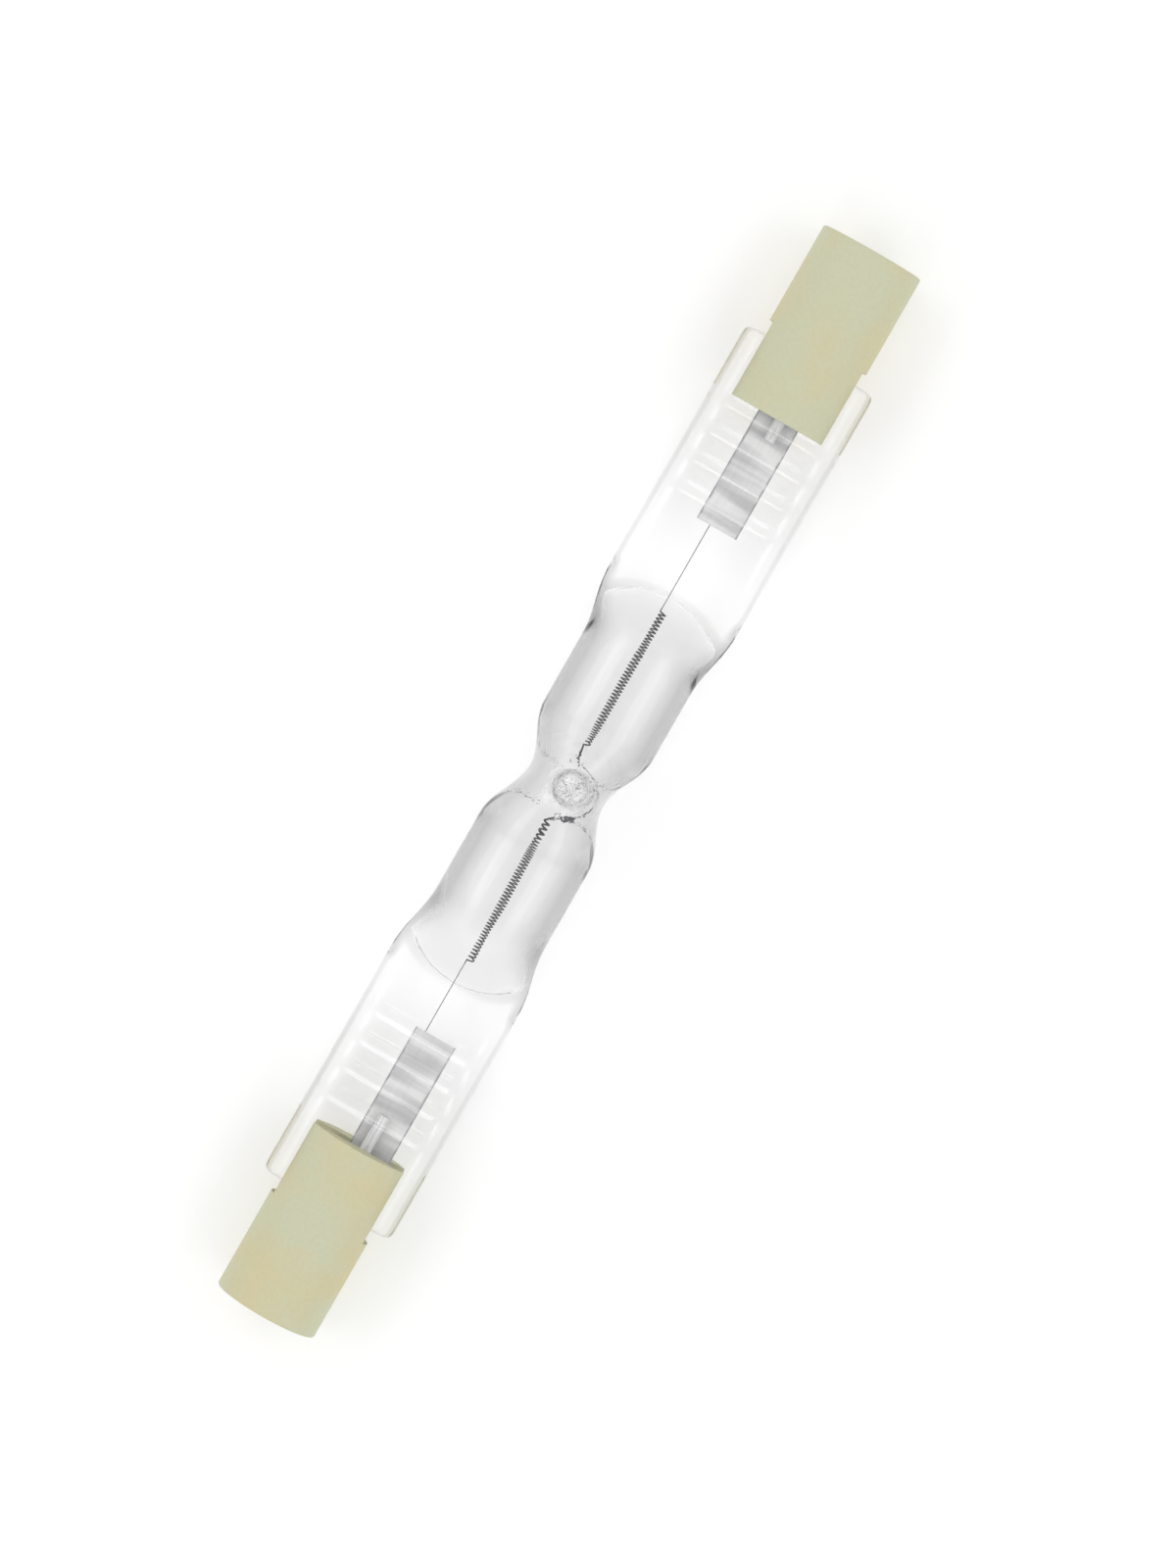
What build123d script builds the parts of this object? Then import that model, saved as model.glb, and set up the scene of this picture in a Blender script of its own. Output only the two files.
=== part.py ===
from build123d import *
from math import cos, pi, radians, sin
import os

# Double-ended linear halogen bulb, 78 mm class, with recessed contacts.
# Millimetres. +X runs along the bulb's axis, the flat press seals lie in
# the XY plane and the exhaust tip points up, +Z. The origin is on the axis,
# half way between the two ends.

os.makedirs("parts", exist_ok=True)

# Whole bulb
overall_length = 78.3
end_sides = {"left": -1, "right": 1}

# Ceramic end caps: a round body whose inner half is slotted into two cheeks
cap_diameter = 7.1
cap_length = 12.3
slot_depth = 5.3
slot_clearance = 0.08
cap_edge_radius = 0.15
recess_diameter = 4.2
recess_chamfer = 0.2
lead_hole_diameter = 2.2

# Contact buttons, recessed in the caps' outer ends
contact_depth = 1.7
contact_diameter = 3.4
contact_plate = 0.5
contact_dome = 0.3
contact_clearance = 0.05

# Quartz tube and its waist
tube_diameter = 8.0
tube_wall = 1.0
waist_position = -0.15
waist_half_length = 4.1
waist_width = 5.46
waist_height = 7.5
throat_half_length = 3.4
throat_width = 1.7
throat_height = 3.2

# Exhaust tip, sealed off by flame, on top of the waist
tip_diameter = 2.45
tip_rise = 0.75
tip_crown = 0.65
tip_offset = -0.25
tip_foot_radius = 1.9
tip_foot_depth = 1.5
exhaust_bore = 1.3
exhaust_bore_end = 0.4
exhaust_seal = 1.3

# Press seals: a thin web between two raised edge beads
seal_width = 9.4
seal_end_gap = 0.9
seal_corner_radius = 0.4
web_thickness = 2.0
bead_width = 1.28
bead_rise = 0.25
bead_fillet = 0.2
rib_count = 4
rib_pitch = 2.05
rib_width = 0.5
rib_height = 0.12
last_rib_gap = {"left": 5.9, "right": 4.9}

# Shoulders, where the round tube runs into the flat seals. The jaws closed
# a little nearer the middle on the right, so that seal is longer.
seal_length = {"left": 15.45, "right": 16.55}
shoulder_length = 5.9
shoulder_bulge = 1.7
flare_share = 0.8
foot_sink = 0.05
chamber_end_gap = 1.1
chamber_end_height = 0.9
chamber_end_radius = 5.6

# Molybdenum foils and outer leads in the seals, placed from the seals' outer ends
foil_thickness = 0.04
foil_width = 2.9
foil_length = 9.5
foil_end_gap = {"left": 3.3, "right": 2.85}
foil_offset = {"left": -0.77, "right": -0.14}
lead_diameter = 0.8
lead_overlap = {"left": 3.55, "right": 3.0}
lead_offset = {"left": -0.45, "right": -0.25}
weld_depth = 0.02

# Tungsten filament: one wire, coiled on each side of the waist
wire_diameter = 0.13
wire_sides = 6
coil_diameter = 0.6
coil_pitch = 0.23
coil_start = {"left": 3.02, "right": 2.35}
coil_end_gap = {"left": 1.79, "right": 0.9}
turn_flats = 6
tail_overlap = 1.2

# Cement round the seals in the caps' slots
cement_inset = 0.25

# Derived sizes
half_length = overall_length / 2
cap_radius = cap_diameter / 2
cap_mouth = half_length - cap_length
slot_bottom = cap_mouth + slot_depth
tube_radius = tube_diameter / 2
bore_radius = tube_radius - tube_wall
seal_end = slot_bottom - seal_end_gap
bead_thickness = web_thickness + 2 * bead_rise
slot_height = bead_thickness + 2 * slot_clearance
bead_centre = seal_width / 2 - bead_width / 2
wire_radius = wire_diameter / 2
wire_flat = wire_radius * cos(pi / wire_sides)
foil_top = -wire_flat
coil_radius = coil_diameter / 2 - wire_radius
contact_face = half_length - contact_depth
contact_rim = contact_face - contact_dome
contact_back = contact_rim - contact_plate
rib_radius = (rib_width ** 2 / 4 + rib_height ** 2) / (2 * rib_height)
shoulder_foot = {end: seal_end - seal_length[end] for end in end_sides}
chamber_end = {end: shoulder_foot[end] - chamber_end_gap for end in end_sides}
foil_start = {end: seal_end - foil_end_gap[end] - foil_length for end in end_sides}
lead_start = {end: foil_start[end] + foil_length - lead_overlap[end] for end in end_sides}
wire_end = {end: foil_start[end] + tail_overlap for end in end_sides}
coil_room = {end: chamber_end[end] - coil_end_gap[end] - coil_start[end] for end in end_sides}
coil_turns = {end: round(coil_room[end] / coil_pitch) for end in end_sides}
coil_end = {end: coil_start[end] + coil_turns[end] * coil_pitch for end in end_sides}


def station(distance):
    # The plane square to the axis at this X, its own x along Y and its y along Z
    return Plane.YZ.offset(distance)


def ease(t):
    # Smooth rise from 0 to 1, level at both ends
    return (1 - cos(pi * min(t, 1))) / 2


def between(low, high, t):
    return low + (high - low) * t


def ellipse_plane(distance, half_width, half_height):
    # An ellipse is drawn with its longer half along its plane's own x, and its
    # seam is at the side or below, clear of the exhaust tip
    if half_width >= half_height:
        return station(distance)
    return Plane(origin=(distance, 0, 0), x_dir=(0, 0, -1), z_dir=(1, 0, 0))


def ellipses(sections):
    # The sections of a stretch of glass: (X, half width, half height)
    drawn = []
    for distance, half_width, half_height in sections:
        with BuildSketch(ellipse_plane(distance, half_width, half_height)) as section:
            Ellipse(max(half_width, half_height), min(half_width, half_height))
        drawn.append(section.sketch)
    return drawn


def waist_sections(reach, half_width, half_height, end_radius, steps=10):
    # Round at both ends and pressed in from the two sides in the middle
    sections = []
    for step in range(steps + 1):
        along = between(-1, 1, step / steps)
        recovered = ease(abs(along))
        sections.append((
            waist_position + along * reach,
            between(half_width, end_radius, recovered),
            between(half_height, end_radius, recovered),
        ))
    return sections


def shoulder_sections(start, length, side, radius, end_width, end_height, steps=6):
    # From the round tube, wider and flatter towards the seal
    sections = []
    for step in range(steps + 1):
        t = step / steps
        sections.append((
            side * (start + length * t),
            between(radius, end_width, ease(t / flare_share)),
            between(radius, end_height, t ** shoulder_bulge),
        ))
    return sections


def save(piece, name):
    piece.label = name
    export_step(piece, f"parts/{name}.step")


# Filament. The wire is drawn with flat sides, and each turn of a coil with
# flat stretches. Along the tails and the middle leg the wire lies at the
# coils' own mean radius, where it leaves their turns.

def straight_section(distance):
    # The wire's section where it runs along X
    return Plane(origin=(distance, coil_radius, 0), x_dir=(0, 0, -1), z_dir=(1, 0, 0))


def bend_section(distance):
    # Half way through the sharp bend between a straight run and a coil
    return Plane(origin=(distance, coil_radius, 0), x_dir=(1, 0, -1), z_dir=(1, 0, 1))


def turn_section(distance, angle):
    # The wire's section in a coil, angle in degrees round the axis
    radial_y = cos(radians(angle))
    radial_z = sin(radians(angle))
    place = (distance, coil_radius * radial_y, coil_radius * radial_z)
    return Plane(origin=place, x_dir=(1, 0, 0), z_dir=(0, -radial_z, radial_y))


def coil_sections(first, turns):
    # The turns of one coil with the bend at each of its ends
    last = first + turns * coil_pitch
    sections = [straight_section(first - wire_diameter), bend_section(first - wire_radius)]
    for step in range(1, turns * turn_flats):
        sections.append(turn_section(first + step * coil_pitch / turn_flats, 360 * step / turn_flats))
    sections.append(bend_section(last + wire_radius))
    sections.append(straight_section(last + wire_diameter))
    return sections


wire_sections = [straight_section(-wire_end["left"])]
wire_sections += coil_sections(-coil_end["left"], coil_turns["left"])
wire_sections += coil_sections(coil_start["right"], coil_turns["right"])
wire_sections.append(straight_section(wire_end["right"]))

with BuildPart() as filament:
    for section in wire_sections:
        with BuildSketch(section):
            RegularPolygon(wire_radius, wire_sides, rotation=90)
    loft(ruled=True)
save(filament.part, "filament")

# The room that the filament's two tails take up in the quartz
with BuildPart() as tail_room:
    for end, side in end_sides.items():
        with BuildSketch(straight_section(side * wire_end[end])):
            RegularPolygon(wire_radius, wire_sides, rotation=90)
        extrude(amount=-side * (wire_end[end] - coil_end[end] - 2 * wire_diameter))

# Foils and outer leads. Each lead lies on its foil, welded to it, and runs
# out through the cap to the back of the contact.
foils = {}
leads = {}
for end, side in end_sides.items():
    with BuildPart() as foil:
        with BuildSketch(station(side * foil_start[end])):
            with Locations((foil_offset[end], foil_top - foil_thickness / 2)):
                Rectangle(foil_width, foil_thickness)
        extrude(amount=side * foil_length)
    foils[end] = foil.part
    save(foil.part, f"foil_{end}")

    with BuildPart() as lead:
        with BuildSketch(station(side * lead_start[end])):
            with Locations((lead_offset[end], foil_top + lead_diameter / 2 - weld_depth)):
                Circle(lead_diameter / 2)
        extrude(amount=side * (contact_back - lead_start[end]))
        add(foils[end], mode=Mode.SUBTRACT)
    leads[end] = lead.part
    save(lead.part, f"outer_lead_{end}")

# Press seals, one at each end: a web and two beads, cut to the seal's plan
# outline, which narrows into the shoulder and has rounded outer corners.
seals = {}
for end, side in end_sides.items():
    flare_start = shoulder_foot[end] - shoulder_length / 2
    flare_end = shoulder_foot[end]
    with BuildPart() as seal:
        with BuildSketch(station(side * flare_start)) as seal_section:
            Rectangle(2 * bead_centre, web_thickness)
            with Locations((-bead_centre, 0), (bead_centre, 0)):
                SlotOverall(bead_thickness, bead_width, rotation=90)
            inner_corners = seal_section.vertices().filter_by(
                lambda v: abs(v.X) < bead_centre
            )
            fillet(inner_corners, bead_fillet)
        extrude(amount=side * (seal_end - flare_start))
        with BuildSketch() as plan:
            with BuildLine():
                Spline(
                    (side * flare_start, -tube_radius), (side * flare_end, -seal_width / 2),
                    tangents=[(side, 0), (side, 0)],
                )
                Polyline(
                    (side * flare_end, -seal_width / 2),
                    (side * seal_end, -seal_width / 2),
                    (side * seal_end, seal_width / 2),
                    (side * flare_end, seal_width / 2),
                )
                Spline(
                    (side * flare_end, seal_width / 2), (side * flare_start, tube_radius),
                    tangents=[(-side, 0), (-side, 0)],
                )
                Line((side * flare_start, tube_radius), (side * flare_start, -tube_radius))
            make_face()
            outer_corners = plan.vertices().sort_by(Axis((0, 0, 0), (side, 0, 0)))[-2:]
            fillet(outer_corners, seal_corner_radius)
        extrude(amount=bead_thickness, both=True, mode=Mode.INTERSECT)
        for face_side in (-1, 1):
            rib_height_centre = face_side * (web_thickness / 2 + rib_height - rib_radius)
            for rib in range(rib_count):
                rib_place = side * (seal_end - last_rib_gap[end] - rib * rib_pitch)
                with Locations((rib_place, 0, rib_height_centre)):
                    Cylinder(rib_radius, 2 * bead_centre, rotation=(90, 0, 0))
    seals[end] = seal.part

# Chambers: the space inside the quartz, two bores that close in domes at
# the seals and meet in the throat, with the exhaust bore above it.
with BuildPart() as chambers:
    loft(ellipses(waist_sections(
        throat_half_length, throat_width / 2, throat_height / 2, bore_radius,
    )))
    for end, side in end_sides.items():
        dome_start = shoulder_foot[end] - shoulder_length
        bore_start = side * waist_position + throat_half_length
        with BuildSketch(station(side * bore_start)):
            Circle(bore_radius)
        extrude(amount=side * (dome_start - bore_start))
        loft(ellipses(shoulder_sections(
            dome_start, chamber_end[end] - dome_start, side, bore_radius,
            seal_width / 2 - tube_wall, chamber_end_height / 2,
        )))
    exhaust_top = tube_radius + tip_rise - exhaust_seal
    with BuildSketch(Plane.XY):
        with Locations((waist_position, tip_offset)):
            Circle(exhaust_bore / 2)
    with BuildSketch(Plane.XY.offset(exhaust_top)):
        with Locations((waist_position, tip_offset)):
            Circle(exhaust_bore_end / 2)
    loft()
    # The domes end in an arc, seen from above
    with BuildSketch() as dome_ends:
        for end, side in end_sides.items():
            arc_centre = chamber_end[end] - chamber_end_radius
            with Locations((side * arc_centre, 0)):
                Circle(chamber_end_radius)
            with Locations((side * arc_centre / 2, 0)):
                Rectangle(arc_centre, tube_diameter)
    extrude(amount=tube_diameter, both=True, mode=Mode.INTERSECT)

# Quartz envelope: tube, waist, exhaust tip, shoulders and seals are one
# piece of glass, fused on to the foils, leads and filament tails.
with BuildPart() as quartz_envelope:
    loft(ellipses(waist_sections(
        waist_half_length, waist_width / 2, waist_height / 2, tube_radius,
    )))
    for end, side in end_sides.items():
        shoulder_start = shoulder_foot[end] - shoulder_length
        tube_start = side * waist_position + waist_half_length
        with BuildSketch(station(side * tube_start)):
            Circle(tube_radius)
        extrude(amount=side * (shoulder_start - tube_start))
        loft(ellipses(shoulder_sections(
            shoulder_start, shoulder_length, side, tube_radius,
            seal_width / 2, web_thickness / 2 - foot_sink,
        )))
        add(seals[end])
    tip_plane = Plane(origin=(waist_position, tip_offset, 0), x_dir=(1, 0, 0), z_dir=(0, -1, 0))
    tip_top = tube_radius + tip_rise
    tip_foot = waist_height / 2 - tip_foot_depth
    with BuildSketch(tip_plane):
        with BuildLine():
            foot = Line((0, tip_foot), (tip_foot_radius, tip_foot))
            outline = Spline(
                foot @ 1, (tip_diameter / 2, tip_top - tip_crown), (0, tip_top),
                tangents=[(-1, 2), (-1, 0)],
            )
            Line(outline @ 1, foot @ 0)
        make_face()
    revolve(axis=Axis(tip_plane.origin, (0, 0, 1)))
    add(chambers.part, mode=Mode.SUBTRACT)
    add(tail_room.part, mode=Mode.SUBTRACT)
    for end in end_sides:
        add(foils[end], mode=Mode.SUBTRACT)
        add(leads[end], mode=Mode.SUBTRACT)
save(quartz_envelope.part, "quartz_envelope")

for end, side in end_sides.items():
    outward = Axis((0, 0, 0), (side, 0, 0))

    # Ceramic cap
    with BuildPart() as cap:
        with BuildSketch(station(side * cap_mouth)):
            Circle(cap_radius)
        extrude(amount=side * cap_length)
        fillet(cap.faces().sort_by(outward)[-1].edges(), cap_edge_radius)
        with BuildSketch(station(side * half_length)):
            Circle(recess_diameter / 2)
        extrude(amount=-side * contact_depth, mode=Mode.SUBTRACT)
        rim = cap.faces().filter_by(Axis.X).sort_by(outward)[-1].inner_wires()[0]
        chamfer(rim.edges(), recess_chamfer)
        with BuildSketch(station(side * contact_face)):
            Circle(contact_diameter / 2 + contact_clearance)
        extrude(amount=-side * (contact_face - contact_back), mode=Mode.SUBTRACT)
        with BuildSketch(station(side * contact_back)):
            Circle(lead_hole_diameter / 2)
        extrude(amount=-side * (contact_back - slot_bottom), mode=Mode.SUBTRACT)
        with BuildSketch(station(side * cap_mouth)):
            Rectangle(2 * cap_diameter, slot_height)
        extrude(amount=side * slot_depth, mode=Mode.SUBTRACT)
    save(cap.part, f"ceramic_cap_{end}")

    # Contact button: a flat plate with a low dome, level with the recess's floor
    with BuildPart() as contact:
        with BuildSketch(station(side * contact_back)):
            Circle(contact_diameter / 2)
        extrude(amount=side * contact_plate)
        with BuildSketch(Plane.XY):
            with BuildLine():
                dome = ThreePointArc(
                    (side * contact_rim, contact_diameter / 2),
                    (side * contact_face, 0),
                    (side * contact_rim, -contact_diameter / 2),
                )
                Line(dome @ 1, dome @ 0)
            make_face()
            split(bisect_by=Plane.XZ)
        revolve(axis=Axis.X)
    save(contact.part, f"contact_{end}")

    # Cement in the slot, round the seal and the lead
    with BuildPart() as cement:
        with BuildSketch(station(side * (cap_mouth + cement_inset))):
            Circle(cap_radius - cement_inset)
            Rectangle(cap_diameter, slot_height, mode=Mode.INTERSECT)
        extrude(amount=side * (slot_depth - cement_inset))
        add(seals[end], mode=Mode.SUBTRACT)
        add(leads[end], mode=Mode.SUBTRACT)
    save(cement.part, f"cement_{end}")
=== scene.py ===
import math

import bpy
from mathutils import Matrix, Vector


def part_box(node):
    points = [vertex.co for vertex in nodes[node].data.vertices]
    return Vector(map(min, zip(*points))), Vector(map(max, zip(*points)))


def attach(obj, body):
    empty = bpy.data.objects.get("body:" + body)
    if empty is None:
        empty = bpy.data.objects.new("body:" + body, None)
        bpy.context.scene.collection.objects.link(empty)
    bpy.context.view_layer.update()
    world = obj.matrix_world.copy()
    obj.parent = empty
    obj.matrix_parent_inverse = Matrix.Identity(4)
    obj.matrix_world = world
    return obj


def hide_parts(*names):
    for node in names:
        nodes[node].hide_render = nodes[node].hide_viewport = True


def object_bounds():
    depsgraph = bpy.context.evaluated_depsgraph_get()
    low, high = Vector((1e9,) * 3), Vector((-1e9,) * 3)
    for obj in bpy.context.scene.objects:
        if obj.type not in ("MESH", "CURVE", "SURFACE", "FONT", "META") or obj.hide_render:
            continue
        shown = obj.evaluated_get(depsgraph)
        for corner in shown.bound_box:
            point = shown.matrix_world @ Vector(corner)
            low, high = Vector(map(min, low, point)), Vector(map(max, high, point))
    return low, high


# Double-ended linear halogen bulb lying on a pale floor. Sizes are in
# millimetres, and Blender's coordinates in metres.
MM = 0.001

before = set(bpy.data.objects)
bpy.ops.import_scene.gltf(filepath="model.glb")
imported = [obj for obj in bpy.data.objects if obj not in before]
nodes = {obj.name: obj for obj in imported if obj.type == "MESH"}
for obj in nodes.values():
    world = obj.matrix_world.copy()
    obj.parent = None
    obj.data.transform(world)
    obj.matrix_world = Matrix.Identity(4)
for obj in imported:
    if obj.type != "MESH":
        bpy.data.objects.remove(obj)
cad_low, cad_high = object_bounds()
ends = {"left": -1, "right": 1}


def box_mm(node):
    low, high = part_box(node)
    return low / MM, high / MM


# Sizes taken from the frame
glass_low, glass_high = box_mm("quartz_envelope")
seal_end = glass_high.x
seal_half_width = glass_high.y
tube_radius = -glass_low.z
tip_top = glass_high.z
foils = {end: box_mm(f"foil_{end}") for end in ends}
floor_height = cad_low.z

# Tube, waist and throat
tube_wall = 1.0
waist_place = -0.15
waist_reach = 4.1
waist_half_width = 2.73
waist_half_height = 3.75
throat_radius = 0.45
dome_place = {"left": 1.95, "right": 0.95}
dome_length = 2.1
dome_slope = 3.3

# Exhaust tip
tip_place = (0.05, -0.4)
tip_radius = 1.15
tip_crown = 0.6
tip_foot_radius = 1.6
tip_foot = 2.25
exhaust_radius = 0.4
exhaust_top = 2.2

# Shoulders and press seals
shoulder_foot = {"left": 15.8, "right": 14.7}
shoulder_length = 5.9
shoulder_bulge = 1.3
shoulder_sink = 0.95
flare_share = 0.8
web_half = 1.0
bead_half_width = 0.64
bead_half_height = 1.25
bead_start = 2.4
bead_start_half_height = 0.3
seal_corner = 0.4
rib_count = 4
rib_pitch = 2.05
last_rib = {"left": 24.75, "right": 26.35}
rib_half_width = 0.5
rib_half_height = 1.22
chamber_end_gap = 1.1
flared_wall = 0.6
chamber_end_half_height = 0.3
chamber_end_radius = 5.6

# Filament
wire_radius = 0.046
coil_radius = 0.215
coil_end_radius = 0.13
coil_end_length = 2.6
coil_pitch = 0.23
coil_turns = {"left": 45, "right": 44}
coil_start = {"left": 2.7, "right": 2.35}
coil_drift = {"left": (-0.05, -0.22), "right": (0.13, 0.13)}
tail_end = {"left": 19.65, "right": 20.1}
leg_loop_place = (-2.05, -0.62)
leg_loop_radius = 0.17
leg_loop_turn = 18
leg_loop_points = 60
leg_loop_thickness = 2.0
leg_bow_thickness = 1.2
tail_thickness = 0.6
steps_per_turn = 16
leg_bow = [(-1.6, -0.98), (-1.0, -1.08), (-0.2, -1.1), (0.5, -0.95), (1.0, -0.55), (1.5, 0.05)]

# Foils
foil_dent = 0.03
foil_dent_width = 1.2


# Modelling by hand: small steps that the pieces share

AXIS_TURN = {"X": (0, math.pi / 2, 0), "Y": (math.pi / 2, 0, 0), "Z": (0, 0, 0)}


def on_axis(axis, along, across):
    """A vector with one value along an axis and two across it, in X, Y, Z order."""
    values = list(across)
    values.insert("XYZ".index(axis), along)
    return Vector(values)


def deselect():
    bpy.ops.object.select_all(action="DESELECT")


def settle(piece, name):
    """Names a piece and moves its place into its mesh."""
    deselect()
    piece.select_set(True)
    bpy.context.view_layer.objects.active = piece
    bpy.ops.object.transform_apply(location=True, rotation=True, scale=True)
    piece.name = name
    return piece


def stacked(name, axis, rings, sides=96):
    """A closed solid through elliptical rings: (place along the axis, centre, half sizes)."""
    place, centre, halves = rings[0]
    here = on_axis(axis, place, centre) * MM
    deselect()
    bpy.ops.mesh.primitive_circle_add(
        vertices=sides, radius=MM, fill_type="NGON", location=here, rotation=AXIS_TURN[axis]
    )
    piece = bpy.context.object
    bpy.ops.object.mode_set(mode="EDIT")
    bpy.ops.transform.resize(value=on_axis(axis, 1, halves), center_override=here)
    for place, centre, next_halves in rings[1:]:
        there = on_axis(axis, place, centre) * MM
        bpy.ops.mesh.extrude_region_move(TRANSFORM_OT_translate={"value": there - here})
        change = [after / before for after, before in zip(next_halves, halves)]
        bpy.ops.transform.resize(value=on_axis(axis, 1, change), center_override=there)
        here, halves = there, next_halves
    bpy.ops.mesh.select_all(action="SELECT")
    bpy.ops.mesh.normals_make_consistent(inside=False)
    bpy.ops.object.mode_set(mode="OBJECT")
    return settle(piece, name)


def apply_modifier(piece, kind, **settings):
    modifier = piece.modifiers.new(kind.lower(), kind)
    for name, value in settings.items():
        setattr(modifier, name, value)
    deselect()
    piece.select_set(True)
    bpy.context.view_layer.objects.active = piece
    bpy.ops.object.modifier_apply(modifier=modifier.name)


def joined(name, pieces):
    deselect()
    for piece in pieces:
        piece.select_set(True)
    bpy.context.view_layer.objects.active = pieces[0]
    bpy.ops.object.join()
    pieces[0].name = name
    return pieces[0]


def fused(name, solids, grain, passes):
    """Solids melted into one skin, and fire-polished smooth."""
    piece = joined(name, solids)
    apply_modifier(piece, "REMESH", mode="VOXEL", voxel_size=grain * MM, use_smooth_shade=True)
    apply_modifier(piece, "SMOOTH", factor=0.5, iterations=passes)
    return piece


def ease(t):
    """A smooth rise from 0 to 1, level at both ends."""
    return (1 - math.cos(math.pi * max(0, min(t, 1)))) / 2


def between(low, high, t):
    return low + (high - low) * t


def steps(low, high, step):
    count = math.ceil(abs(high - low) / step)
    return [between(low, high, k / count) for k in range(count + 1)]


def dress(piece, material):
    piece.data.materials.clear()
    piece.data.materials.append(material)


# Quartz bulb: one skin outside, and one round the sealed chambers

def pressed(x, reach, deepest, full):
    """A half size at X, pressed in to its deepest at the middle of the waist."""
    return between(deepest, full, ease(abs(x - waist_place) / reach))


def shoulder_share(x, length):
    """How far X has come down a shoulder: 0 on the round tube, 1 at its foot."""
    end = "left" if x < 0 else "right"
    start = shoulder_foot[end] - shoulder_length
    return max(0, min((abs(x) - start) / length, 1))


def outer_ring(x):
    """The outline at X: round, pressed in at the waist and flattened down each shoulder."""
    t = shoulder_share(x, shoulder_length)
    half_width = pressed(x, waist_reach, waist_half_width, tube_radius)
    half_height = pressed(x, waist_reach, waist_half_height, tube_radius)
    if t > 0:
        half_width = between(tube_radius, seal_half_width, ease(t / flare_share))
        half_height = between(tube_radius, web_half * shoulder_sink, ease(t ** shoulder_bulge))
    return x, (0, 0), (half_width, half_height)


def chamber_ring(x):
    """The hollow at X: a dome by the throat, a bore, and a flat arc at the press seal."""
    end = "left" if x < 0 else "right"
    bore = tube_radius - tube_wall
    t = shoulder_share(x, shoulder_length - chamber_end_gap)
    depth = abs(x) - dome_place[end]
    dome_share = max(0, min(depth / dome_length, 1))
    half_width = max(throat_radius, bore * math.sqrt(1 - (1 - dome_share) ** 2))
    half_height = between(throat_radius, bore, ease(depth / dome_slope))
    if t > 0:
        half_width = between(bore, seal_half_width - flared_wall, ease(t / flare_share))
        half_height = between(bore, chamber_end_half_height, ease(t ** shoulder_bulge))
        arc_centre = shoulder_foot[end] - chamber_end_gap - chamber_end_radius
        arc = max(0, chamber_end_radius ** 2 - (abs(x) - arc_centre) ** 2) ** 0.5
        half_width = min(half_width, max(arc, 0.05))
    return x, (0, 0), (half_width, half_height)


def web(end):
    """The flat of a press seal, up to the middle of its edge beads."""
    side = ends[end]
    start = shoulder_foot[end] - shoulder_length / 2
    length = seal_end - start
    deselect()
    bpy.ops.mesh.primitive_cube_add(size=MM, location=(side * (start + length / 2) * MM, 0, 0))
    piece = bpy.context.object
    bpy.ops.object.mode_set(mode="EDIT")
    bead_line = seal_half_width - bead_half_width
    bpy.ops.transform.resize(value=(length, 2 * bead_line, 2 * web_half))
    bpy.ops.object.mode_set(mode="OBJECT")
    return settle(piece, f"web_{end}")


def bead(end, y_side):
    """A rounded edge of a press seal, with its outer corner turned in."""
    side = ends[end]
    start = shoulder_foot[end] - bead_start
    rings = []
    for x in steps(start, seal_end - seal_corner, 0.4):
        flare = ease((x - start) / bead_start)
        edge = between(tube_radius, seal_half_width, flare)
        height = between(bead_start_half_height, bead_half_height, flare)
        rings.append((side * x, (y_side * (edge - bead_half_width), 0), (bead_half_width, height)))
    for step in range(1, 5):
        turn = math.radians(90 * step / 5)
        x = seal_end - seal_corner * (1 - math.sin(turn))
        cut = seal_corner * (1 - math.cos(turn))
        halves = (bead_half_width - cut / 2, bead_half_height - cut)
        rings.append((side * x, (y_side * (seal_half_width - bead_half_width - cut / 2), 0), halves))
    return stacked(f"bead_{end}_{y_side}", "X", rings, sides=32)


def rib(end, number):
    x = ends[end] * (last_rib[end] - number * rib_pitch)
    reach = seal_half_width - bead_half_width
    halves = (rib_half_width, rib_half_height)
    return stacked(f"rib_{end}_{number}", "Y", [(-reach, (x, 0), halves), (reach, (x, 0), halves)], sides=48)


def exhaust_tip():
    rings = []
    crown_start = tip_top - tip_crown
    for z in steps(tip_foot, crown_start, 0.2):
        radius = between(tip_foot_radius, tip_radius, ease((z - tip_foot) / (crown_start - tip_foot)))
        rings.append((z, tip_place, (radius, radius)))
    for step in range(1, 9):
        turn = math.radians(90 * step / 9)
        radius = tip_radius * math.cos(turn)
        rings.append((crown_start + tip_crown * math.sin(turn), tip_place, (radius, radius)))
    return stacked("exhaust_tip", "Z", rings, sides=48)


def exhaust_bore():
    rings = []
    for z in steps(0, exhaust_top, 0.25):
        radius = between(exhaust_radius, 0.2, z / exhaust_top)
        rings.append((z, tip_place, (radius, radius)))
    return stacked("exhaust_bore", "Z", rings, sides=32)


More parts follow.
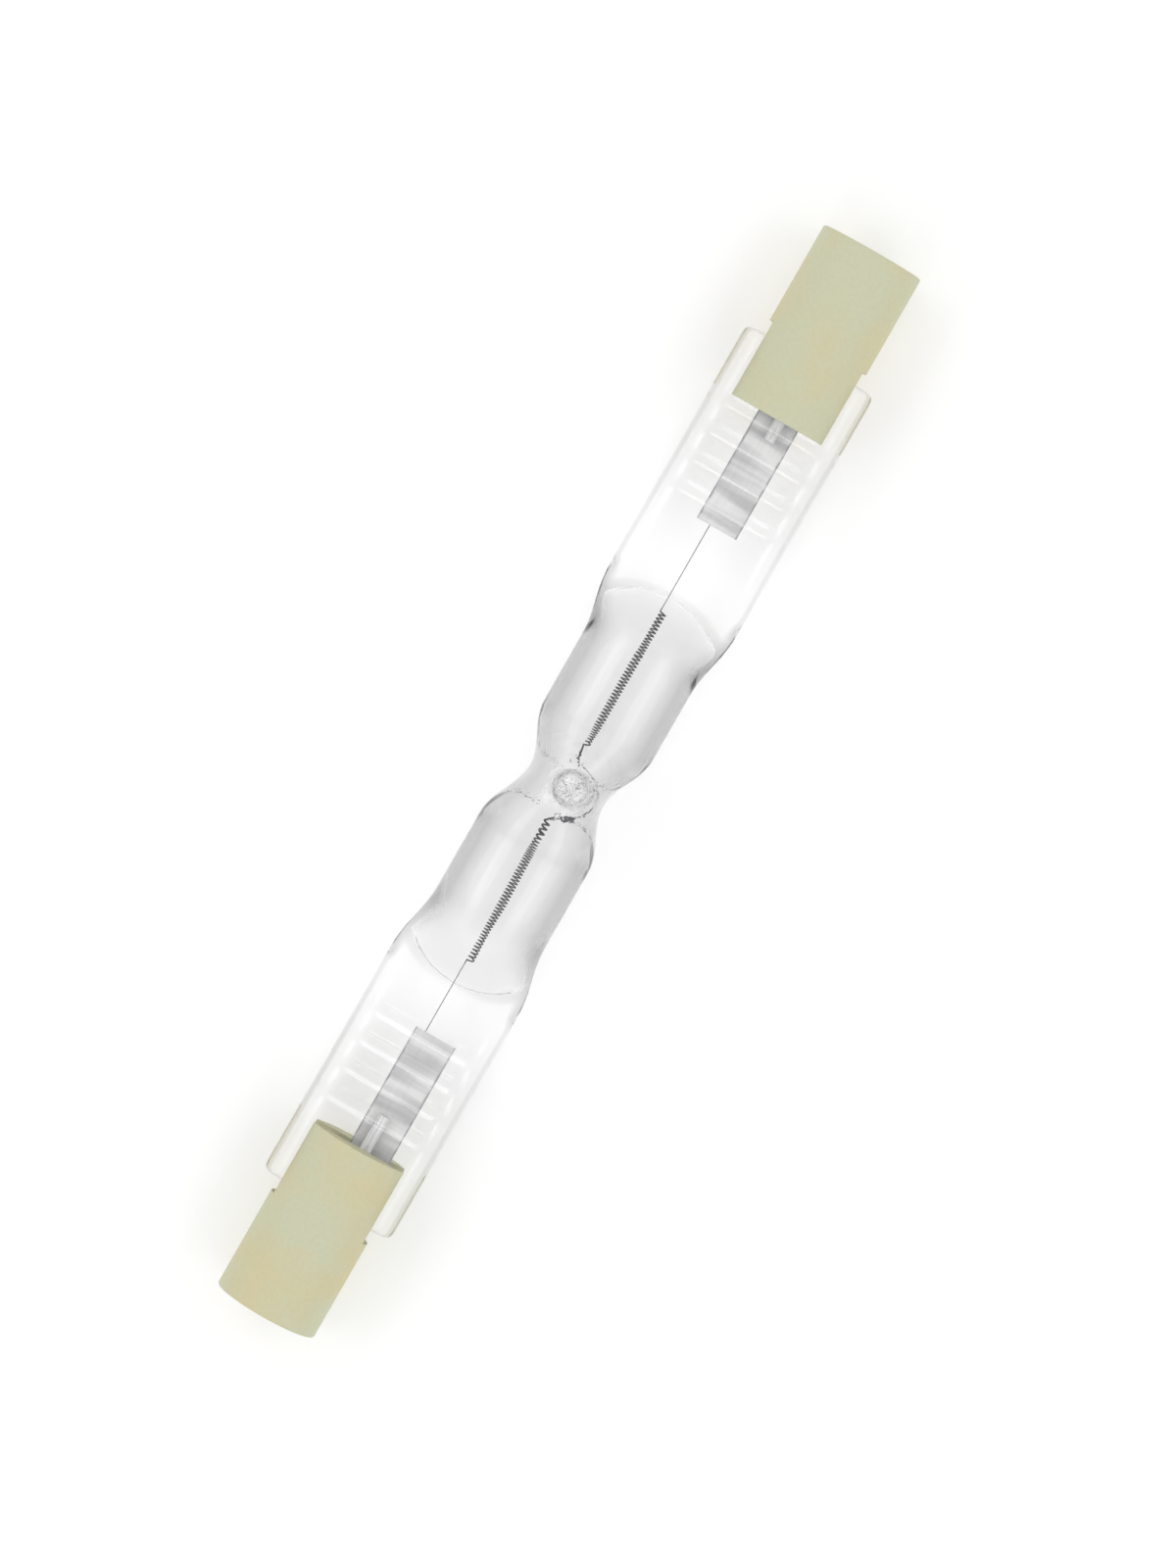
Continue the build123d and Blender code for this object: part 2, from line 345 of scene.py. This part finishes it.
def quartz_bulb(outside_finish, inside_finish):
    outside = [stacked("tube", "X", [
        outer_ring(x) for x in steps(-shoulder_foot["left"], shoulder_foot["right"], 0.35)
    ])]
    for end in ends:
        outside.append(web(end))
        outside += [bead(end, y_side) for y_side in (-1, 1)]
        outside += [rib(end, number) for number in range(rib_count)]
    outside.append(exhaust_tip())
    skin = fused("quartz_bulb", outside, 0.18, 12)
    dress(skin, outside_finish)

    chamber_ends = [side * (shoulder_foot[end] - chamber_end_gap - 0.001) for end, side in ends.items()]
    chambers = [stacked("chambers", "X", [chamber_ring(x) for x in steps(*chamber_ends, 0.15)])]
    chambers.append(exhaust_bore())
    inside = fused("chamber_skin", chambers, 0.15, 12)
    bpy.ops.object.mode_set(mode="EDIT")
    bpy.ops.mesh.select_all(action="SELECT")
    bpy.ops.mesh.flip_normals()
    bpy.ops.object.mode_set(mode="OBJECT")
    dress(inside, inside_finish)
    return joined("quartz_bulb", [skin, inside])


# Filament: one wire through both coils

def leg_loop():
    """The middle leg, melted into the waist: a thick loop, then a bow round the tip's foot."""
    points = []
    for k in range(leg_loop_points + 1):
        share = k / leg_loop_points
        angle = math.radians(100 + leg_loop_turn * k)
        radius = between(leg_loop_radius, 0.02, share)
        x = leg_loop_place[0] + radius * math.cos(angle)
        y = leg_loop_place[1] + radius * math.sin(angle)
        points.append((x, y, between(0, wire_radius * 6, share), leg_loop_thickness))
    return points + [(x, y, 0, leg_bow_thickness) for x, y in leg_bow]


def wire_route():
    """Points from the left tail to the right one: X, Y, Z and a share of the wire's thickness."""
    points = []
    for end, side in (("left", -1), ("right", 1)):
        near, far = coil_drift[end]
        stretch = []
        count = coil_turns[end] * steps_per_turn
        for k in range(count + 1):
            share = k / count
            x = side * (coil_start[end] + share * coil_turns[end] * coil_pitch)
            angle = side * 2 * math.pi * k / steps_per_turn
            drift = between(near, far, share)
            widening = ease((abs(x) - coil_start[end]) / coil_end_length)
            radius = between(coil_end_radius, coil_radius, widening)
            stretch.append((x, drift + radius * math.cos(angle), radius * math.sin(angle), 1))
        tail_y = coil_radius + far
        coil_far = coil_start[end] + coil_turns[end] * coil_pitch
        foil_edge, foil_under = tail_end[end] - 1.2, foils[end][0].z - wire_radius
        stretch.append((side * (coil_far + 0.3), tail_y, 0, tail_thickness))
        stretch.append((side * (foil_edge - 0.5), tail_y, 0, tail_thickness))
        stretch.append((side * foil_edge, tail_y, foil_under, tail_thickness))
        stretch.append((side * tail_end[end], tail_y, foil_under, tail_thickness))
        if side < 0:
            stretch.reverse()
            stretch += leg_loop()
        points += stretch
    return points


def filament():
    points = wire_route()
    curve = bpy.data.curves.new("filament_wire", "CURVE")
    curve.dimensions = "3D"
    curve.bevel_depth = wire_radius * MM
    curve.bevel_resolution = 2
    curve.use_fill_caps = True
    spline = curve.splines.new("POLY")
    spline.points.add(len(points) - 1)
    for point, (x, y, z, thickness) in zip(spline.points, points):
        point.co = (*(Vector((x, y, z)) * MM), 1)
        point.radius = thickness
    piece = bpy.data.objects.new("filament_wire", curve)
    bpy.context.scene.collection.objects.link(piece)
    deselect()
    piece.select_set(True)
    bpy.context.view_layer.objects.active = piece
    bpy.ops.object.convert(target="MESH")
    bpy.ops.object.shade_smooth()
    return bpy.context.object


def foil_ribbon(end):
    """A foil with the soft dents that the press left in it."""
    low, high = foils[end]
    size = high - low
    deselect()
    bpy.ops.mesh.primitive_grid_add(
        x_subdivisions=76, y_subdivisions=24, size=MM, location=(low + high) / 2 * MM
    )
    ribbon = bpy.context.object
    bpy.ops.object.mode_set(mode="EDIT")
    bpy.ops.mesh.select_all(action="SELECT")
    bpy.ops.transform.resize(value=(size.x, size.y, 1))
    bpy.ops.object.mode_set(mode="OBJECT")
    settle(ribbon, f"foil_ribbon_{end}")
    dents = bpy.data.textures.new("press_dents", "CLOUDS")
    dents.noise_scale = foil_dent_width * MM
    apply_modifier(
        ribbon, "DISPLACE", texture=dents, texture_coords="LOCAL", direction="Z",
        strength=foil_dent * MM, mid_level=0.5
    )
    apply_modifier(ribbon, "SOLIDIFY", thickness=(size.z - foil_dent / 2) * MM, offset=0)
    bpy.ops.object.shade_smooth_by_angle(angle=math.radians(40))
    return ribbon


# Materials

def linear(hex_colour):
    """An sRGB hex colour as linear RGBA."""
    values = [int(hex_colour[i:i + 2], 16) / 255 for i in (1, 3, 5)]
    return [v / 12.92 if v <= 0.04045 else ((v + 0.055) / 1.055) ** 2.4 for v in values] + [1]


def add_node(material, kind, settings=None, **links):
    """Adds a shader node, sets its sockets and properties, and links its inputs."""
    tree = material.node_tree
    node = tree.nodes.new(kind)
    for name, value in (settings or {}).items():
        if isinstance(name, int) or name in node.inputs:
            node.inputs[name].default_value = value
        else:
            setattr(node, name, value)
    for name, source in links.items():
        tree.links.new(source, node.inputs[name.replace("_", " ")])
    return node


def new_material(name, **sockets):
    material = bpy.data.materials.new(name)
    material.use_nodes = True
    shader = material.node_tree.nodes["Principled BSDF"]
    for socket, value in sockets.items():
        shader.inputs[socket.replace("_", " ")].default_value = value
    return material, shader


# Fused quartz, drawn and fire-polished: clear, with painted shade in its colour:
# grey where it is seen edge on, most of all round the tube, and a faint grey
# over the tube's middle. The flame left faint ripples along the tube, and
# wrinkles where it pinched the waist. At the flares it bends light less than
# real quartz, so their thick edges stay clear.
fused_quartz, shader = new_material("fused_quartz", Roughness=0.0, IOR=1.46, Transmission_Weight=1.0)
place = add_node(fused_quartz, "ShaderNodeTexCoord")
split = add_node(fused_quartz, "ShaderNodeSeparateXYZ", Vector=place.outputs["Object"])
from_waist = add_node(fused_quartz, "ShaderNodeMath", {"operation": "ABSOLUTE"}, Value=split.outputs["X"])
pinched = add_node(
    fused_quartz, "ShaderNodeMapRange", {"From Min": 2.6 * MM, "From Max": 1.6 * MM},
    Value=from_waist.outputs["Value"]
)
facing = add_node(fused_quartz, "ShaderNodeLayerWeight", {"Blend": 0.5})
edge_share = add_node(
    fused_quartz, "ShaderNodeMapRange", {"From Min": 0.07, "From Max": 0.4}, Value=facing.outputs["Facing"]
)
pressed_flat = add_node(
    fused_quartz, "ShaderNodeMapRange", {"From Min": 10 * MM, "From Max": 13 * MM},
    Value=from_waist.outputs["Value"]
)
solid_waist = add_node(
    fused_quartz, "ShaderNodeMapRange", {"From Min": 4 * MM, "From Max": 2.5 * MM, "To Max": 0.5},
    Value=from_waist.outputs["Value"]
)
solid = add_node(
    fused_quartz, "ShaderNodeMath", {"operation": "MAXIMUM"}, Value=pressed_flat.outputs["Result"]
)
fused_quartz.node_tree.links.new(solid_waist.outputs["Result"], solid.inputs[1])
# Painted shade: the glass is coloured grey where it is seen edge on, and a faint grey over the tube's
# middle, in place of the dark surroundings and shadow seen through it.
painted_face_shade = add_node(
    fused_quartz, "ShaderNodeMixRGB", {"Color1": linear("#F8F8F8"), "Color2": linear("#FFFFFF")},
    Fac=pressed_flat.outputs["Result"]
)
painted_edge_shade = add_node(
    fused_quartz, "ShaderNodeMixRGB", {"Color1": linear("#B4B4B4"), "Color2": linear("#E2E2E2")},
    Fac=solid.outputs["Value"]
)
painted_shade = add_node(
    fused_quartz, "ShaderNodeMixRGB",
    Fac=edge_share.outputs["Result"], Color1=painted_face_shade.outputs["Color"], Color2=painted_edge_shade.outputs["Color"]
)
fused_quartz.node_tree.links.new(painted_shade.outputs["Color"], shader.inputs["Base Color"])
from_flare = add_node(
    fused_quartz, "ShaderNodeMath", {"operation": "SUBTRACT", 1: 13.2 * MM},
    Value=from_waist.outputs["Value"]
)
from_flare = add_node(
    fused_quartz, "ShaderNodeMath", {"operation": "ABSOLUTE"}, Value=from_flare.outputs["Value"]
)
flare_ior = add_node(
    fused_quartz, "ShaderNodeMapRange",
    {"From Min": 2.6 * MM, "From Max": 4.4 * MM, "To Min": 1.12, "To Max": 1.46},
    Value=from_flare.outputs["Value"]
)
fused_quartz.node_tree.links.new(flare_ior.outputs["Result"], shader.inputs["IOR"])
stretched = add_node(
    fused_quartz, "ShaderNodeMapping", {"Scale": (0.2, 1, 1)}, Vector=place.outputs["Object"]
)
ripples = add_node(
    fused_quartz, "ShaderNodeTexNoise", {"Scale": 1 / (0.8 * MM), "Detail": 1},
    Vector=stretched.outputs["Vector"]
)
ripple_relief = add_node(
    fused_quartz, "ShaderNodeBump", {"Strength": 0.25, "Distance": 0.02 * MM}, Height=ripples.outputs["Fac"]
)
wrinkles = add_node(
    fused_quartz, "ShaderNodeTexNoise", {"Scale": 1 / (0.7 * MM), "Detail": 2, "Distortion": 1.0},
    Vector=place.outputs["Object"]
)
wrinkle_relief = add_node(
    fused_quartz, "ShaderNodeBump", {"Distance": 0.09 * MM},
    Height=wrinkles.outputs["Fac"], Strength=pinched.outputs["Result"],
    Normal=ripple_relief.outputs["Normal"]
)
fused_quartz.node_tree.links.new(wrinkle_relief.outputs["Normal"], shader.inputs["Normal"])

# The same quartz on the chambers' walls, which the flame never touched: clear.
# It bends light less than real quartz, so the coils inside look undistorted.
chamber_quartz, shader = new_material(
    "chamber_quartz", Base_Color=linear("#FFFFFF"), Roughness=0.0, IOR=1.18, Transmission_Weight=1.0
)

# Steatite, pressed and fired without a glaze: matt, with soft warm and greenish
# clouds a few millimetres wide, and a fine grain.
fired_steatite, shader = new_material("fired_steatite")
place = add_node(fired_steatite, "ShaderNodeTexCoord")
clouds = add_node(
    fired_steatite, "ShaderNodeTexNoise", {"Scale": 1 / (5 * MM), "Detail": 3},
    Vector=place.outputs["Object"]
)
cloud_share = add_node(
    fired_steatite, "ShaderNodeMapRange", {"From Min": 0.38, "From Max": 0.62}, Value=clouds.outputs["Fac"]
)
body = add_node(
    fired_steatite, "ShaderNodeMixRGB", {"Color1": linear("#C9CBAE"), "Color2": linear("#CFC7A0")},
    Fac=cloud_share.outputs["Result"]
)
grain = add_node(
    fired_steatite, "ShaderNodeTexNoise", {"Scale": 1 / (0.25 * MM), "Detail": 4},
    Vector=place.outputs["Object"]
)
grain_share = add_node(
    fired_steatite, "ShaderNodeMapRange", {"From Min": 0.35, "From Max": 0.65, "To Max": 0.2},
    Value=grain.outputs["Fac"]
)
speckled = add_node(
    fired_steatite, "ShaderNodeMixRGB", {"Color2": linear("#BDB993")},
    Fac=grain_share.outputs["Result"], Color1=body.outputs["Color"]
)
matt = add_node(
    fired_steatite, "ShaderNodeMapRange", {"To Min": 0.55, "To Max": 0.8}, Value=grain.outputs["Fac"]
)
relief = add_node(
    fired_steatite, "ShaderNodeBump", {"Strength": 0.5, "Distance": 0.03 * MM}, Height=grain.outputs["Fac"]
)
fired_steatite.node_tree.links.new(speckled.outputs["Color"], shader.inputs["Base Color"])
fired_steatite.node_tree.links.new(matt.outputs["Result"], shader.inputs["Roughness"])
fired_steatite.node_tree.links.new(relief.outputs["Normal"], shader.inputs["Normal"])

# Ceramic cement, poured and dried: chalky off-white, rough and slightly pitted.
ceramic_cement, shader = new_material("ceramic_cement", Roughness=0.9)
place = add_node(ceramic_cement, "ShaderNodeTexCoord")
pits = add_node(
    ceramic_cement, "ShaderNodeTexNoise", {"Scale": 1 / (0.3 * MM), "Detail": 5},
    Vector=place.outputs["Object"]
)
chalk = add_node(
    ceramic_cement, "ShaderNodeMixRGB", {"Color1": linear("#B9B5A6"), "Color2": linear("#DAD7CB")},
    Fac=pits.outputs["Fac"]
)
relief = add_node(
    ceramic_cement, "ShaderNodeBump", {"Strength": 0.8, "Distance": 0.1 * MM}, Height=pits.outputs["Fac"]
)
ceramic_cement.node_tree.links.new(chalk.outputs["Color"], shader.inputs["Base Color"])
ceramic_cement.node_tree.links.new(relief.outputs["Normal"], shader.inputs["Normal"])

# Molybdenum foil, rolled and etched thin along its edges: dull grey, with bands
# across it from the press, faint streaks along the roll, and dark ragged edges.
molybdenum_foil, shader = new_material("molybdenum_foil", Metallic=0.2, Roughness=0.5)
place = add_node(molybdenum_foil, "ShaderNodeTexCoord")
dents = add_node(
    molybdenum_foil, "ShaderNodeTexNoise", {"Scale": 1 / (1.6 * MM), "Detail": 2},
    Vector=place.outputs["Object"]
)
stretched = add_node(
    molybdenum_foil, "ShaderNodeMapping", {"Scale": (0.12, 1, 1)}, Vector=place.outputs["Object"]
)
streaks = add_node(
    molybdenum_foil, "ShaderNodeTexNoise", {"Scale": 1 / (0.25 * MM), "Detail": 2},
    Vector=stretched.outputs["Vector"]
)
across = add_node(
    molybdenum_foil, "ShaderNodeMapping", {"Scale": (1, 0.12, 1)}, Vector=place.outputs["Object"]
)
bands = add_node(
    molybdenum_foil, "ShaderNodeTexNoise", {"Scale": 1 / (1.1 * MM), "Detail": 2},
    Vector=across.outputs["Vector"]
)
band_share = add_node(
    molybdenum_foil, "ShaderNodeMapRange", {"From Min": 0.4, "From Max": 0.6}, Value=bands.outputs["Fac"]
)
dull = add_node(
    molybdenum_foil, "ShaderNodeMixRGB", {"Color1": linear("#D4D4D6"), "Color2": linear("#FCFCFC")},
    Fac=band_share.outputs["Result"]
)
streaked = add_node(
    molybdenum_foil, "ShaderNodeMixRGB", {"blend_type": "MULTIPLY", "Fac": 0.15},
    Color1=dull.outputs["Color"], Color2=streaks.outputs["Fac"]
)
split = add_node(molybdenum_foil, "ShaderNodeSeparateXYZ", Vector=place.outputs["UV"])
off_middle = add_node(
    molybdenum_foil, "ShaderNodeMath", {"operation": "SUBTRACT", 1: 0.5}, Value=split.outputs["Y"]
)
off_middle = add_node(
    molybdenum_foil, "ShaderNodeMath", {"operation": "ABSOLUTE"}, Value=off_middle.outputs["Value"]
)
ragged = add_node(
    molybdenum_foil, "ShaderNodeTexNoise", {"Scale": 1 / (0.5 * MM), "Detail": 3},
    Vector=place.outputs["Object"]
)
ragged = add_node(
    molybdenum_foil, "ShaderNodeMath", {"operation": "MULTIPLY", 1: 0.1}, Value=ragged.outputs["Fac"]
)
to_edge = add_node(
    molybdenum_foil, "ShaderNodeMath", {"operation": "ADD"}, Value=off_middle.outputs["Value"]
)
molybdenum_foil.node_tree.links.new(ragged.outputs["Value"], to_edge.inputs[1])
edge_share = add_node(
    molybdenum_foil, "ShaderNodeMapRange", {"From Min": 0.5, "From Max": 0.55},
    Value=to_edge.outputs["Value"]
)
etched = add_node(
    molybdenum_foil, "ShaderNodeMixRGB", {"Color2": linear("#9A9A9C")},
    Fac=edge_share.outputs["Result"], Color1=streaked.outputs["Color"]
)
relief = add_node(
    molybdenum_foil, "ShaderNodeBump", {"Strength": 0.5, "Distance": 0.08 * MM}, Height=dents.outputs["Fac"]
)
molybdenum_foil.node_tree.links.new(etched.outputs["Color"], shader.inputs["Base Color"])
molybdenum_foil.node_tree.links.new(relief.outputs["Normal"], shader.inputs["Normal"])

# Molybdenum pin, drawn: a brighter grey with fine lines along it.
molybdenum_pin, shader = new_material("molybdenum_pin", Metallic=0.6)
place = add_node(molybdenum_pin, "ShaderNodeTexCoord")
stretched = add_node(
    molybdenum_pin, "ShaderNodeMapping", {"Scale": (0.08, 1, 1)}, Vector=place.outputs["Object"]
)
lines = add_node(
    molybdenum_pin, "ShaderNodeTexNoise", {"Scale": 1 / (0.12 * MM), "Detail": 3},
    Vector=stretched.outputs["Vector"]
)
drawn = add_node(
    molybdenum_pin, "ShaderNodeMixRGB", {"Color1": linear("#C4C4C6"), "Color2": linear("#FAFAFA")},
    Fac=lines.outputs["Fac"]
)
satin = add_node(
    molybdenum_pin, "ShaderNodeMapRange", {"To Min": 0.3, "To Max": 0.55}, Value=lines.outputs["Fac"]
)
molybdenum_pin.node_tree.links.new(drawn.outputs["Color"], shader.inputs["Base Color"])
molybdenum_pin.node_tree.links.new(satin.outputs["Result"], shader.inputs["Roughness"])

# Nickel contact, stamped: a warm satin metal, scuffed by the holder's pin.
nickel_contact, shader = new_material("nickel_contact", Metallic=1.0)
place = add_node(nickel_contact, "ShaderNodeTexCoord")
scuffs = add_node(
    nickel_contact, "ShaderNodeTexNoise", {"Scale": 1 / (0.4 * MM), "Detail": 5, "Distortion": 2.0},
    Vector=place.outputs["Object"]
)
plated = add_node(
    nickel_contact, "ShaderNodeMixRGB", {"Color1": linear("#A39D92"), "Color2": linear("#D8D3CA")},
    Fac=scuffs.outputs["Fac"]
)
satin = add_node(
    nickel_contact, "ShaderNodeMapRange", {"To Min": 0.2, "To Max": 0.5}, Value=scuffs.outputs["Fac"]
)
nickel_contact.node_tree.links.new(plated.outputs["Color"], shader.inputs["Base Color"])
nickel_contact.node_tree.links.new(satin.outputs["Result"], shader.inputs["Roughness"])

# Tungsten wire, drawn and fired: dark grey, its crystals a little lighter or darker.
tungsten_wire, shader = new_material("tungsten_wire", Metallic=1.0, Roughness=0.45)
place = add_node(tungsten_wire, "ShaderNodeTexCoord")
crystals = add_node(
    tungsten_wire, "ShaderNodeTexNoise", {"Scale": 1 / (0.2 * MM), "Detail": 2},
    Vector=place.outputs["Object"]
)
fired = add_node(
    tungsten_wire, "ShaderNodeMixRGB", {"Color1": linear("#4C4C4F"), "Color2": linear("#86868A")},
    Fac=crystals.outputs["Fac"]
)
tungsten_wire.node_tree.links.new(fired.outputs["Color"], shader.inputs["Base Color"])

# The pieces. The glass casts no shadow, so the light that it passes stays even.
bulb = quartz_bulb(fused_quartz, chamber_quartz)
bulb.visible_shadow = False
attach(bulb, "root")
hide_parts("quartz_envelope")

wire = filament()
dress(wire, tungsten_wire)
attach(wire, "root")
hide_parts("filament")

for end in ends:
    ribbon = foil_ribbon(end)
    dress(ribbon, molybdenum_foil)
    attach(ribbon, "root")
    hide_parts(f"foil_{end}")
    dress(nodes[f"ceramic_cap_{end}"], fired_steatite)
    dress(nodes[f"cement_{end}"], ceramic_cement)
    dress(nodes[f"outer_lead_{end}"], molybdenum_pin)
    dress(nodes[f"contact_{end}"], nickel_contact)

# Floor: white, and glowing a little, so that it makes a plain white ground
deselect()
bpy.ops.mesh.primitive_plane_add(size=3, location=(0, 0, floor_height))
floor = bpy.context.object
floor.name = "floor"
floor_paint, shader = new_material(
    "white_floor", Base_Color=(0.8, 0.8, 0.8, 1), Roughness=0.9,
    Emission_Color=(1, 1, 1, 1), Emission_Strength=0.24
)
dress(floor, floor_paint)

# Camera, looking down on the bulb from nearly half a metre, a little nearer its
# right end. The bulb's axis runs up to the right in the picture.
photo_height = 1600
photo_scale = 0.06282
camera_target = Vector((0.63, -1.14, 0)) * MM
camera_place = Vector((23.6, -1.14, 440)) * MM
picture_up = Vector((0.8676, 0.49727, 0))

back = (camera_place - camera_target).normalized()
up = (picture_up - back * picture_up.dot(back)).normalized()
camera_data = bpy.data.cameras.new("camera")
camera_data.sensor_fit = "AUTO"
camera_data.sensor_width = 36
distance = (camera_place - camera_target).length
camera_data.lens = camera_data.sensor_width * distance / (photo_height * photo_scale * MM)
camera_data.clip_start = 0.01
camera_data.clip_end = 10
camera = bpy.data.objects.new("camera", camera_data)
bpy.context.scene.collection.objects.link(camera)
camera.matrix_world = Matrix((up.cross(back), up, back)).transposed().to_4x4()
camera.location = camera_place
bpy.context.scene.camera = camera

# Light
world = bpy.data.worlds.new("studio")
bpy.context.scene.world = world
world.use_nodes = True
world.node_tree.nodes["Background"].inputs["Color"].default_value = (1, 1, 1, 1)
world.node_tree.nodes["Background"].inputs["Strength"].default_value = 0.78


def softbox(name, place, size, energy):
    data = bpy.data.lights.new(name, "AREA")
    data.shape = "RECTANGLE"
    data.size, data.size_y = size
    data.energy = energy
    light = bpy.data.objects.new(name, data)
    bpy.context.scene.collection.objects.link(light)
    light.location = place
    light.rotation_euler = Vector(place).to_track_quat("Z", "Y").to_euler()


softbox("softbox_front", (0, -0.6, 0.7), (1.2, 0.35), 1.6)
softbox("softbox_back", (0, 0.6, 0.7), (1.2, 0.35), 1.6)
softbox("strip_light", (-0.6, 0, 0.6), (0.05, 0.5), 0.25)
bpy.context.scene.view_settings.view_transform = "Standard"
